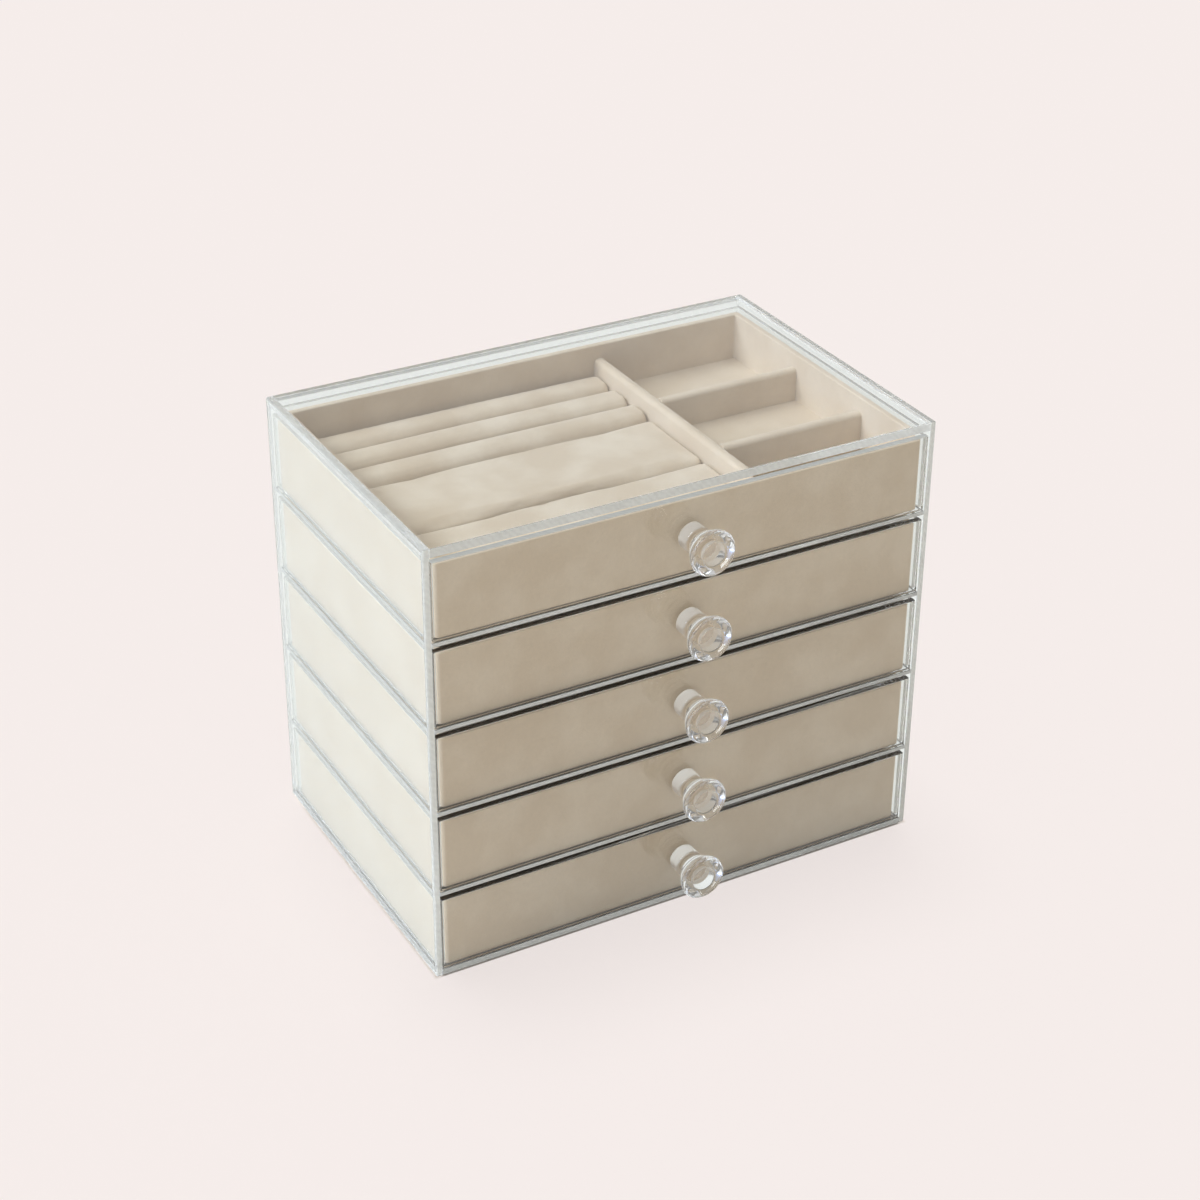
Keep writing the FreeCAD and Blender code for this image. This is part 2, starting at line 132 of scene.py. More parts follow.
class KnobSettings(bpy.types.PropertyGroup):
    """The turned clear knobs."""

    base_radius: FloatProperty(name="Base radius", description="Radius of the disc on the drawer front",
                               unit="LENGTH", default=0.00625)
    base_length: FloatProperty(name="Base length", description="Thickness of the disc on the drawer front",
                               unit="LENGTH", default=0.0065)
    neck_radius: FloatProperty(name="Neck radius", description="Radius of the neck behind the head",
                               unit="LENGTH", default=0.00475)
    neck_length: FloatProperty(name="Neck length", description="Length of the neck behind the head",
                               unit="LENGTH", default=0.0035)
    back_radius: FloatProperty(name="Back radius",
                               description="Radius of the head's back, from where it widens",
                               unit="LENGTH", default=0.007)
    rim_length: FloatProperty(name="Rim length",
                              description="Length of the straight rim at the head's front",
                              unit="LENGTH", default=0.0026)
    recess_radius: FloatProperty(name="Recess radius", description="Radius of the round recess in the head",
                                 unit="LENGTH", default=0.0053)
    recess_depth: FloatProperty(name="Recess depth", description="Depth of the round recess in the head",
                                unit="LENGTH", default=0.0045)
    bond_line: FloatProperty(name="Bond line", description="Cement between the base and the drawer front",
                             unit="LENGTH", default=0.00004)
    head_rounding: FloatProperty(name="Head rounding", description="Rounding of the head's outer edges",
                                 unit="LENGTH", default=0.0016)
    rim_rounding: FloatProperty(name="Rim rounding",
                                description="Rounding of the base's and the recess's rims",
                                unit="LENGTH", default=0.0008)
    # The blots mix the velvet's two colours on a knob's cemented foot, a painted view of the velvet behind it
    blot: FloatProperty(name="Cement blots", description="Size of the blots in the cement under a base",
                        unit="LENGTH", min=0.0001, default=0.002)
    cement_clear: FloatProperty(name="Cement clarity",
                                description="Share of light that the cement lets through",
                                subtype="FACTOR", min=0, max=1, default=0.55)
    steps: IntProperty(name="Steps", description="Steps round the knob", min=12, default=72)


class VelvetSettings(bpy.types.PropertyGroup):
    """The velvet on the trays, the dividers and the padding."""

    colour: FloatVectorProperty(name="Colour", description="Colour of the velvet",
                                subtype="COLOR", min=0, max=1, default=(0.64, 0.537, 0.408))
    brushed: FloatVectorProperty(name="Brushed colour",
                                 description="Colour where the pile is brushed the other way",
                                 subtype="COLOR", min=0, max=1, default=(0.75, 0.665, 0.545))
    sheen: FloatProperty(name="Sheen", description="Strength of the velvet's sheen",
                         subtype="FACTOR", min=0, max=1, default=0.7)
    sheen_width: FloatProperty(name="Sheen width", description="How far the sheen spreads from the outline",
                               subtype="FACTOR", min=0, max=1, default=0.4)
    sheen_tint: FloatVectorProperty(name="Sheen tint", description="Colour of the velvet's sheen",
                                    subtype="COLOR", min=0, max=1, default=(0.97, 0.93, 0.87))
    pile: FloatProperty(name="Pile", description="Width of the pile's smallest grains",
                        unit="LENGTH", min=0.00001, default=0.00035)
    brush_width: FloatProperty(name="Brush marks", description="Width of the marks brushed into the pile",
                               unit="LENGTH", min=0.0001, default=0.022)
    corner_radius: FloatProperty(name="Corner radius",
                                 description="Rounding of a tray's outer upright corners",
                                 unit="LENGTH", default=0.002)
    inner_radius: FloatProperty(name="Inner radius",
                                description="Rounding of a tray's inner upright corners",
                                unit="LENGTH", default=0.001)
    rim_radius: FloatProperty(name="Rim radius", description="Rounding of the velvet over a tray's rim",
                              unit="LENGTH", default=0.0012)
    foot_radius: FloatProperty(name="Foot radius", description="Rounding of the velvet under a tray",
                               unit="LENGTH", default=0.0004)
    divider_radius: FloatProperty(name="Divider radius",
                                  description="Rounding of the velvet over a divider",
                                  unit="LENGTH", default=0.0021)


class PaddingSettings(bpy.types.PropertyGroup):
    """The padded ring rolls and the flat pads."""

    cell: FloatProperty(name="Cell", description="Size of the padding's cells while it is filled",
                        unit="LENGTH", default=0.0014)
    pressure: FloatProperty(name="Pressure", description="Pressure of the filling", default=4.0)
    steps: IntProperty(name="Steps", description="Frames that the filling takes", min=2, default=20)
    swell: FloatProperty(name="Swell", description="The most that the filling moves the cloth",
                         unit="LENGTH", default=0.0012)
    slack: FloatProperty(name="Slack", description="How much smaller than its space a piece is cut",
                         unit="LENGTH", default=0.0004)
    roll_rounding: FloatProperty(name="Roll rounding",
                                 description="Rounding of a ring roll's two shoulders",
                                 unit="LENGTH", default=0.0055)
    end_rounding: FloatProperty(name="End rounding", description="Rounding of the ends of the padding",
                                unit="LENGTH", default=0.0016)
    pad_rounding: FloatProperty(name="Pad rounding", description="Rounding of a flat pad's edges",
                                unit="LENGTH", default=0.0028)


class StageSettings(bpy.types.PropertyGroup):
    """The floor, the light and the camera."""

    floor_colour: FloatVectorProperty(name="Floor", description="Colour of the floor and the backdrop",
                                      subtype="COLOR", min=0, max=1, default=(0.910, 0.845, 0.830))
    bounce_colour: FloatVectorProperty(name="Bounce",
                                       description="Colour of the floor as it lights the object",
                                       subtype="COLOR", min=0, max=1, default=(0.675, 0.64, 0.60))
    floor_glow: FloatProperty(name="Floor glow", description="Share of the floor that no shadow darkens",
                              subtype="FACTOR", min=0, max=1, default=0.82)
    floor_size: FloatProperty(name="Floor size", description="Length of the floor's side",
                              unit="LENGTH", default=40.0)
    floor_gap: FloatProperty(name="Floor gap", description="Air between the floor and the case",
                             unit="LENGTH", default=0.0003)
    shade_rim: FloatProperty(name="Shade rim",
                             description="How far the shade under the case reaches past it",
                             unit="LENGTH", default=0.0005)
    card_colour: FloatVectorProperty(name="Card",
                                     description="Colour that the floor has in the sheets' reflections",
                                     subtype="COLOR", min=0, max=1, default=(0.90, 0.93, 0.92))
    front_colour: FloatVectorProperty(name="Front card",
                                      description="Colour that the floor in front has in reflections",
                                      subtype="COLOR", min=0, max=1, default=(0.65, 0.65, 0.64))
    card_border: FloatProperty(name="Card border",
                               description="Width of the soft border between the two cards",
                               unit="LENGTH", min=0.001, default=0.15)
    room_shade: FloatProperty(name="Room shade",
                              description="Brightness of the room behind the camera, in reflections",
                              subtype="FACTOR", min=0, max=1, default=0.35)
    ceiling_colour: FloatVectorProperty(name="Ceiling",
                                        description="Colour that is reflected from overhead",
                                        subtype="COLOR", min=0, max=1, default=(0.60, 0.60, 0.60))
    sky: FloatProperty(name="Sky light",
                       description="Strength of the even light from all round", default=0.45)
    sky_colour: FloatVectorProperty(name="Sky colour",
                                    description="Colour of the even light from all round",
                                    subtype="COLOR", min=0, max=1, default=(1.0, 0.94, 0.85))
    sun: FloatProperty(name="Soft light",
                       description="Strength of the soft light from the left", default=2.8)
    sun_angle: FloatProperty(name="Soft light's width", description="Angle that the soft light fills",
                             subtype="ANGLE", default=math.radians(45))
    sun_from: FloatVectorProperty(name="Light from", description="Direction that the soft light comes from",
                                  subtype="DIRECTION", default=(-0.68, 0.18, 0.71))
    sun_colour: FloatVectorProperty(name="Soft light's colour", description="Colour of the soft light",
                                    subtype="COLOR", min=0, max=1, default=(0.93, 0.97, 1.0))
    side: FloatProperty(name="Side light",
                        description="Strength of the low light from the left", default=0.95)
    side_from: FloatVectorProperty(name="Side light from",
                                   description="Direction that the low light comes from",
                                   subtype="DIRECTION", default=(-0.97, 0.05, 0.22))
    side_colour: FloatVectorProperty(name="Side light's colour", description="Colour of the low light",
                                     subtype="COLOR", min=0, max=1, default=(0.30, 0.50, 1.0))
    overhead: FloatProperty(name="Floor light",
                            description="Strength of the light on the floor", default=1.9)
    overhead_from: FloatVectorProperty(name="Floor light from",
                                       description="Direction that the floor is lit from",
                                       subtype="DIRECTION", default=(0.0, 0.22, 0.975))
    overhead_angle: FloatProperty(name="Floor light's width",
                                  description="Angle that the floor light fills",
                                  subtype="ANGLE", default=math.radians(25))
    light_steps: IntProperty(name="Light steps",
                             description="Steps that light is followed through the sheets",
                             min=4, default=96)
    eye: FloatVectorProperty(name="Eye", description="Place of the camera",
                             subtype="TRANSLATION", unit="LENGTH", default=(-0.45893, -0.82359, 0.65357))
    turn: FloatVectorProperty(name="Turn", description="Turn of the camera", subtype="EULER",
                              default=(math.radians(60.0966), math.radians(-0.3348), math.radians(-29.0098)))
    lens: FloatProperty(name="Lens", description="Focal length of the camera", unit="CAMERA", default=73.5)


class OrganizerSettings(bpy.types.PropertyGroup):
    """All the settings of the organizer."""

    sheets: PointerProperty(type=ClearSheetSettings)
    knobs: PointerProperty(type=KnobSettings)
    velvet: PointerProperty(type=VelvetSettings)
    padding: PointerProperty(type=PaddingSettings)
    stage: PointerProperty(type=StageSettings)


def settings():
    """The organizer's settings in this scene."""
    return bpy.context.scene.organizer


# Finishes

class Wire:
    """An output of a node, with arithmetic that adds Math nodes."""

    def __init__(self, finish, socket):
        self.finish = finish
        self.socket = socket

    def math(self, operation, first, second, third=0.0):
        return self.finish.node("ShaderNodeMath", {"operation": operation}, {0: first, 1: second, 2: third})

    def __add__(self, other):
        return self.math("ADD", self, other)

    def __sub__(self, other):
        return self.math("SUBTRACT", self, other)

    def __rsub__(self, other):
        return self.math("SUBTRACT", other, self)

    def __mul__(self, other):
        return self.math("MULTIPLY", self, other)

    def __truediv__(self, other):
        return self.math("DIVIDE", self, other)

    def greatest(self, other):
        return self.math("MAXIMUM", self, other)

    def within(self, reach):
        """1 where the value is between -reach and reach, and 0 elsewhere."""
        return self.math("COMPARE", self, 0.0, reach)

    __radd__ = __add__
    __rmul__ = __mul__


class Finish:
    """The nodes of a material or of the world."""

    def __init__(self, owner):
        owner.use_nodes = True
        self.tree = owner.node_tree
        self.tree.nodes.clear()

    def node(self, kind, choices=None, inputs=None, output=0):
        """Add a node, set its choices first, then its sockets, and return one output."""
        made = self.tree.nodes.new(kind)
        for name, value in (choices or {}).items():
            if name == "stops":
                self.set_stops(made.color_ramp, value)
            else:
                setattr(made, name, value)
        for name, value in (inputs or {}).items():
            if isinstance(value, Wire):
                self.tree.links.new(value.socket, made.inputs[name])
            else:
                made.inputs[name].default_value = value
        return Wire(self, made.outputs[output]) if made.outputs else None

    def set_stops(self, ramp, stops):
        """Give a ramp these grey stops."""
        while len(ramp.elements) < len(stops):
            ramp.elements.new(1)
        for element, (place, value) in zip(ramp.elements, stops):
            element.position = place
            element.color = (value, value, value, 1)

    def place(self):
        """The place on the object."""
        return self.node("ShaderNodeTexCoord", output="Object")

    def noise(self, place, size, detail=2.0, rough=0.5):
        """Even noise from 0 to 1 whose grains are about this size."""
        return self.node("ShaderNodeTexNoise", None,
                         {"Vector": place, "Scale": 1 / size, "Detail": detail, "Roughness": rough})

    def ramp(self, value, *stops):
        """Map a value to grey through these stops."""
        return self.node("ShaderNodeValToRGB", {"stops": stops}, {"Fac": value})

    def blend(self, share, first, second):
        """Mix two colours."""
        return self.node("ShaderNodeMix", {"data_type": "RGBA"}, {0: share, 6: first, 7: second}, output=2)

    def multiply(self, first, second):
        """Multiply two colours."""
        return self.node("ShaderNodeMix", {"data_type": "RGBA", "blend_type": "MULTIPLY"},
                         {0: 1.0, 6: first, 7: second}, output=2)

    def mix(self, share, first, second):
        """Mix two shaders."""
        return self.node("ShaderNodeMixShader", None, {0: share, 1: first, 2: second})

    def principled(self, values):
        """The usual shader, with these values on its sockets."""
        return self.node("ShaderNodeBsdfPrincipled", None, values)

    def ray(self, kind):
        """1 for rays of this kind, and 0 for others."""
        return self.node("ShaderNodeLightPath", output=kind)

    def part(self, place, axis):
        """One coordinate of a place."""
        return self.node("ShaderNodeSeparateXYZ", None, {"Vector": place}, output=axis)

    def surface(self, shader):
        """Make this shader the material's surface."""
        self.node("ShaderNodeOutputMaterial", None, {"Surface": shader})


def colour(value):
    """A colour that hides what is behind it."""
    return (*value, 1)


def clear_shader(finish, tint, rough, lamps_through, clarity=1.0, bump=None):
    """Clear acrylic."""
    sheet = settings().sheets
    values = {"Base Color": tint, "Transmission Weight": clarity, "IOR": sheet.refraction, "Roughness": rough}
    if bump is not None:
        values["Normal"] = bump
    acrylic = finish.principled(values)
    return let_light_through(finish, acrylic) if lamps_through else acrylic


def let_light_through(finish, shader):
    """Let lamps and the light from around reach what is behind."""
    lamps = finish.ray("Is Shadow Ray")
    bounced = finish.ray("Is Diffuse Ray")
    air = finish.node("ShaderNodeBsdfTransparent", None, {"Color": colour(settings().sheets.tint)})
    return finish.mix(lamps.greatest(bounced), shader, air)


def clear_finish(material, wiped=0.035, matt=0.0, clarity=1.0, lamps_through=True):
    """A polished or matt face, with faint marks where it has been wiped."""
    sheet = settings().sheets
    finish = Finish(material)
    marks = finish.noise(finish.place(), wiped, detail=4.0)
    haze = finish.ramp(marks, (0.45, 0), (0.75, 1))
    rough = haze * (sheet.gloss_high - sheet.gloss_low) + sheet.gloss_low + matt
    finish.surface(clear_shader(finish, colour(sheet.tint), rough, lamps_through, clarity))


def edge_finish(material, clarity, lamps_through=True):
    """A sawn edge, whose fine slanted marks scatter some of the light."""
    sheet = settings().sheets
    finish = Finish(material)
    place = finish.place()
    cuts = finish.node("ShaderNodeTexWave", {"bands_direction": "DIAGONAL"},
                       {"Vector": place, "Scale": 1 / (sheet.saw_mark * WAVES_PER_SCALE), "Distortion": 6.0,
                        "Detail": 2.0, "Detail Scale": 1.5}, output="Fac")
    chips = finish.noise(place, 2 * sheet.saw_mark, detail=3.0)
    bump = finish.node("ShaderNodeBump", None, {"Strength": 0.5, "Distance": sheet.saw_depth,
                                                "Height": 0.3 * cuts + 0.9 * chips})
    tone = finish.blend(0.25 * cuts + 0.75 * chips, colour(sheet.edge_shade), colour(sheet.edge_tint))
    rough = 0.04 + 0.22 * chips
    finish.surface(clear_shader(finish, tone, rough, lamps_through, clarity, bump))


def ground_painted_shade_finish(material):
    """A ground lower edge with painted shade, near-black for the dark gap below it, and a mirror where it is seen
    at a slant from within.
    """
    sheet = settings().sheets
    finish = Finish(material)
    grit = finish.noise(finish.place(), sheet.saw_mark, detail=3.0)
    # Painted shade: near-black with a fine grain, for the dark gap under the front
    tone = finish.multiply(colour(sheet.painted_gap_shade), 0.6 + 0.4 * grit)
    ground = finish.principled({
        "Base Color": tone, "Roughness": 0.5 + 0.3 * grit, "Specular IOR Level": 0.2})
    mirror = finish.principled({
        "Base Color": colour(sheet.ground_mirror), "Metallic": 1.0, "Roughness": 0.02})
    slant = finish.node("ShaderNodeFresnel", None, {"IOR": sheet.refraction})
    edge = finish.mix(slant, ground, mirror)
    finish.surface(let_light_through(finish, edge))


def cement_finish(material):
    """A knob's cemented foot, partly clear and partly painted in the velvet's colours, a painted view of the
    velvet behind the front.
    """
    velvet = settings().velvet
    knob = settings().knobs
    finish = Finish(material)
    blots = finish.noise(finish.place(), knob.blot, detail=3.0)
    # Painted view: the velvet's colours stand in for the velvet seen through the foot
    tone = finish.blend(blots, colour(velvet.colour), colour(velvet.brushed))
    finish.surface(finish.principled({
        "Base Color": tone, "Roughness": 0.04 + 0.1 * blots, "IOR": settings().sheets.refraction,
        "Transmission Weight": knob.cement_clear}))


def velvet_finish(material, nap=0.0003, brushing=0.5):
    """Short velvet pile: brushed marks, a fine grain, and a soft sheen."""
    velvet = settings().velvet
    finish = Finish(material)
    place = finish.place()
    marks = finish.noise(place, velvet.brush_width, detail=3.0)
    brushed = finish.ramp(marks, (0.40, 0), (0.66, 1))
    grain = finish.noise(place, velvet.pile, detail=2.0)
    tufts = finish.noise(place, velvet.pile * 4, detail=2.0)
    cloth = finish.blend(brushing * brushed, colour(velvet.colour), colour(velvet.brushed))
    shade = 0.86 + 0.18 * grain + 0.10 * tufts
    pile = finish.multiply(cloth, shade)
    bump = finish.node("ShaderNodeBump", None,
                       {"Strength": 0.35, "Distance": nap, "Height": 0.7 * grain + 0.6 * tufts})
    finish.surface(finish.principled({
        "Base Color": pile, "Roughness": 0.82 + 0.14 * tufts, "Normal": bump,
        "Specular IOR Level": 0.2, "Sheen Weight": velvet.sheen, "Sheen Roughness": velvet.sheen_width,
        "Sheen Tint": colour(velvet.sheen_tint)}))


# Mesh helpers

def between(low, high):
    """The matrix that makes a unit cube fill the space from low to high."""
    return Matrix.LocRotScale((low + high) / 2, None, high - low)


def bevel(mesh, edges, radius, segments):
    """Round these edges."""
    bmesh.ops.bevel(mesh, geom=edges, offset=radius, offset_type="OFFSET", affect="EDGES",
                    segments=segments, profile=0.5, material=-1, clamp_overlap=True)


def is_along(edge, axis):
    """True for an edge that runs along this axis."""
    way = edge.verts[0].co - edge.verts[1].co
    return abs(way[axis]) > ALONG * way.length


def at_height(edge, height):
    """True for an edge that lies at this height."""
    return all(abs(vert.co.z - height) < TOUCHING for vert in edge.verts)


def stands_at(edge, height):
    """True for an edge whose lower end is at this height."""
    return abs(min(vert.co.z for vert in edge.verts) - height) < TOUCHING


def wall_thickness():
    """Thickness of a tray's walls, from the room between the tray and the divider that spans it."""
    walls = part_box("drawer_2_liner_walls")
    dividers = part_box("drawer_2_dividers")
    return dividers[0].x - walls[0].x - DIVIDER_ROOM


def is_spoke(edge):
    """True for an edge between the outer and the inner loop of a rim."""
    return len(edge.link_faces) == 2 and all(abs(face.normal.z) > ALONG for face in edge.link_faces)


def loose_boxes(node):
    """The low and high corner of each separate solid of a node."""
    mesh = bmesh.new()
    mesh.from_mesh(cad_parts[node].data)
    bmesh.ops.remove_doubles(mesh, verts=mesh.verts[:], dist=TOUCHING)
    waiting = set(mesh.verts)
    found = []
    while waiting:
        island, reached = set(), [next(iter(waiting))]
        while reached:
            vert = reached.pop()
            if vert in island:
                continue
            island.add(vert)
            reached.extend(edge.other_vert(vert) for edge in vert.link_edges)
        waiting -= island
        places = [vert.co for vert in island]
        found.append((Vector(map(min, *places)), Vector(map(max, *places))))
    mesh.free()
    return sorted(found, key=lambda pair: (round(pair[0].x, 5), round(pair[0].y, 5)))


def finished(name, mesh, smooth_angle=40):
    """Turn a bmesh into a named object with smooth shading up to an angle."""
    bmesh.ops.recalc_face_normals(mesh, faces=mesh.faces)
    data = bpy.data.meshes.new(name)
    mesh.to_mesh(data)
    mesh.free()
    data.shade_smooth()
    data.set_sharp_from_angle(angle=math.radians(smooth_angle))
    piece = bpy.data.objects.new(name, data)
    bpy.context.scene.collection.objects.link(piece)
    flatten = piece.modifiers.new("flat_faces", "WEIGHTED_NORMAL")
    flatten.keep_sharp = True
    flatten.weight = 100
    return piece


def dress(piece, body, slot, materials, *nodes):
    """Give a piece its finishes, its body and the nodes that it stands for."""
    for item in materials:
        piece.data.materials.append(item)
    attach(piece, body)
    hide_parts(*nodes)


def get_material(name, make, **choices):
    """The finish of this name, made the first time."""
    found = bpy.data.materials.get(name)
    if found is None:
        found = bpy.data.materials.new(name)
        make(found, **choices)
    return found


def sheet_materials(lamps_through=True):
    """A sheet's faces, its sawn edges, its rubbed upper edges, and a front's ground lower edge in painted shade.
    """
    sheet = settings().sheets
    end = "" if lamps_through else "_dark"
    faces = get_material("polished_acrylic" + end, clear_finish, lamps_through=lamps_through)
    sawn = get_material("sawn_acrylic" + end, edge_finish, clarity=sheet.edge_clear, lamps_through=lamps_through)
    rubbed = get_material("rubbed_acrylic" + end, edge_finish, clarity=sheet.rubbed_clear,
                          lamps_through=lamps_through)
    return faces, sawn, rubbed, get_material("ground_acrylic", ground_painted_shade_finish)


def tray_velvet():
    """The finish of the trays and their dividers."""
    return (get_material("tray_velvet", velvet_finish),)


# Operators

class ORGANIZER_OT_stage(bpy.types.Operator):
    """Make the floor, the light and the camera"""

    bl_idname = "organizer.stage"
    bl_label = "Stage"

    def execute(self, context):
        stage = settings().stage
        floor = self.make_floor(stage)
        self.make_world(context.scene, stage)
        self.make_lamps(context.scene, stage, floor)
        self.make_camera(context.scene, stage)
        context.scene.view_settings.view_transform = "Standard"
        self.set_light_paths(context.scene.cycles, stage)
        return {"FINISHED"}

    def set_light_paths(self, cycles, stage):
        """Follow light through the many clear layers, and along the sheets to their far edges."""
        cycles.max_bounces = stage.light_steps
        cycles.transmission_bounces = stage.light_steps
        cycles.glossy_bounces = stage.light_steps
        cycles.transparent_max_bounces = stage.light_steps

    def make_floor(self, stage):
        """A pale floor that keeps the shadow, with its own colours in reflections."""
        mesh = bmesh.new()
        place = Matrix.Translation((0, 0, -stage.floor_gap))
        bmesh.ops.create_grid(mesh, x_segments=1, y_segments=1, size=stage.floor_size / 2, matrix=place)
        floor = finished("floor", mesh)
        paint = bpy.data.materials.new("pale_floor")
        finish = Finish(paint)
        open_floor = 1 - self.under_case(finish, stage)
        lit = finish.node("ShaderNodeBsdfDiffuse", None, {"Color": colour(stage.floor_colour)})
        glow = finish.node("ShaderNodeEmission", None, {"Color": colour(stage.floor_colour), "Strength": 1.0})
        seen = finish.mix(open_floor * stage.floor_glow, lit, glow)
        cards = finish.blend(self.in_front(finish, stage),
                             colour(stage.card_colour), colour(stage.front_colour))
        card = finish.node("ShaderNodeEmission", None, {"Color": cards, "Strength": 1.0})
        mirrored = finish.ray("Is Glossy Ray")
        shown = finish.mix(mirrored * open_floor, seen, card)
        bounce = finish.node("ShaderNodeBsdfDiffuse", None, {"Color": colour(stage.bounce_colour)})
        lighting = finish.ray("Is Diffuse Ray")
        finish.surface(finish.mix(lighting, shown, bounce))
        floor.data.materials.append(paint)
        return floor

    def under_case(self, finish, stage):
        """1 on the floor under the case, which stays in shadow."""
        place = finish.place()
        across = finish.part(place, "X")
        deep = finish.part(place, "Y")
        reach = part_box("case_right_panel")[1] + Vector((stage.shade_rim, stage.shade_rim, 0))
        return across.within(reach.x) * deep.within(reach.y)

    def in_front(self, finish, stage):
        """1 on the floor in front of the case, with a soft border at the case's front."""
        deep = finish.part(finish.place(), "Y")
        return finish.ramp((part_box("case_right_panel")[0].y - deep) / stage.card_border, (0, 0), (1, 1))

    def make_world(self, scene, stage):
        """Even light from all round, and a studio for the reflections."""
        scene.world = bpy.data.worlds.new("studio")
        finish = Finish(scene.world)
        camera = finish.ray("Is Camera Ray")
        glossy = finish.ray("Is Glossy Ray")
        through = finish.ray("Is Transmission Ray")
        around = finish.node("ShaderNodeTexCoord", output="Generated")
        height = finish.part(around, "Z")
        deep = finish.part(around, "Y")
        studio = finish.blend(finish.ramp(height, (0.10, 0), (0.45, 1)),
                              colour(stage.floor_colour), colour(stage.ceiling_colour))
        room = finish.ramp(deep + 1, (0.4, stage.room_shade), (1.0, 1))
        studio = finish.multiply(studio, room)
        even = finish.node("ShaderNodeBackground", None,
                           {"Color": colour(stage.sky_colour), "Strength": stage.sky})
        shown = finish.node("ShaderNodeBackground", None, {"Color": studio, "Strength": 1.0})
        pale = finish.node("ShaderNodeBackground", None, {"Color": colour(stage.floor_colour), "Strength": 1.0})
        lighting = finish.mix(glossy.greatest(through), even, shown)
        mixed = finish.mix(camera, lighting, pale)
        finish.node("ShaderNodeOutputWorld", None, {"Surface": mixed})

    def make_lamps(self, scene, stage, floor):
        """Two lamps from the left for the object, and one from above that draws its shadow on the floor."""
        key = self.lamp(scene, "soft_light", stage.sun, stage.sun_from, stage.sun_colour, stage.sun_angle)
        side = self.lamp(scene, "side_light", stage.side, stage.side_from, stage.side_colour, stage.sun_angle)
        overhead = self.lamp(scene, "floor_light", stage.overhead, stage.overhead_from, (1, 1, 1),
                             stage.overhead_angle)
        for light, state in ((key, "EXCLUDE"), (side, "EXCLUDE"), (overhead, "INCLUDE")):
            lit = bpy.data.collections.new(light.name + "_lights")
            lit.objects.link(floor)
            lit.collection_objects[0].light_linking.link_state = state
            light.light_linking.receiver_collection = lit

    def lamp(self, scene, name, strength, source, tone, width):
        """An even light from one direction."""
        lamp = bpy.data.lights.new(name, "SUN")
        lamp.energy = strength
        lamp.color = tone
        lamp.angle = width
        light = bpy.data.objects.new(name, lamp)
        light.rotation_euler = Vector(source).to_track_quat("Z", "Y").to_euler()
        scene.collection.objects.link(light)
        return light

    def make_camera(self, scene, stage):
        """The camera, at the photographer's place."""
        lens = bpy.data.cameras.new("camera")
        lens.sensor_fit = "AUTO"
        lens.sensor_width = 36
        lens.lens = stage.lens
        lens.clip_end = 100
        camera = bpy.data.objects.new("camera", lens)
        camera.location = stage.eye
        camera.rotation_euler = Euler(stage.turn)
        scene.collection.objects.link(camera)
        scene.camera = camera


class ORGANIZER_OT_sheets(bpy.types.Operator):
    """Give the clear sheets their polished edges"""

    bl_idname = "organizer.sheets"
    bl_label = "Clear sheets"

    def execute(self, context):
        sheets = settings().sheets
        for board in CASE_BOARDS:
            self.polish("case", board, sheets.edge_radius)
        for side in CASE_SIDES:
            self.polish("case", side, sheets.case_radius)
        for drawer in DRAWERS:
            for board in DRAWER_BOARDS:
                self.polish(f"drawer_{drawer}", board, sheets.edge_radius)
            self.polish(f"drawer_{drawer}", "front", sheets.front_radius)
        return {"FINISHED"}

    def polish(self, body, board, outer_radius):
        """A sheet with polished edges, and with a larger rounding on its outer face."""
        node = f"{body}_{board}"
        low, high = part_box(node)
        size = high - low
        thin = min(range(3), key=lambda axis: size[axis])
        outer = low[thin] if abs(low[thin]) > abs(high[thin]) else high[thin]
        mesh = bmesh.new()
        bmesh.ops.create_cube(mesh, size=1, matrix=between(low, high))
        rims = [edge for edge in mesh.edges
                if all(abs(vert.co[thin] - outer) < TOUCHING for vert in edge.verts)]
        bevel(mesh, rims, outer_radius, RIM_STEPS)
        square = [edge for edge in mesh.edges if edge.calc_face_angle() > SQUARE]
        bevel(mesh, square, settings().sheets.edge_radius, FINE_STEPS)
        for face in mesh.faces:
            face.material_index = self.edge_of(face, thin, node)
        see_through = board not in DARK_BOARDS
        dress(finished(f"{node}_sheet", mesh), body, "clear_sheet", sheet_materials(see_through), node)

    def edge_of(self, face, thin, node):
        """Which of the sheet's finishes a face has."""
        if node.endswith("front"):
            # A front's lower edge is ground, and its near-black colour is painted shade
            if face.normal.z < -SLOPING:
                return GROUND_PAINTED_SHADE
            return SAWN if node == "drawer_1_front" and face.normal.z > SLOPING else POLISHED
        if abs(face.normal[thin]) > FLAT:
            return POLISHED
        return RUBBED if face.normal.z > SLOPING else SAWN


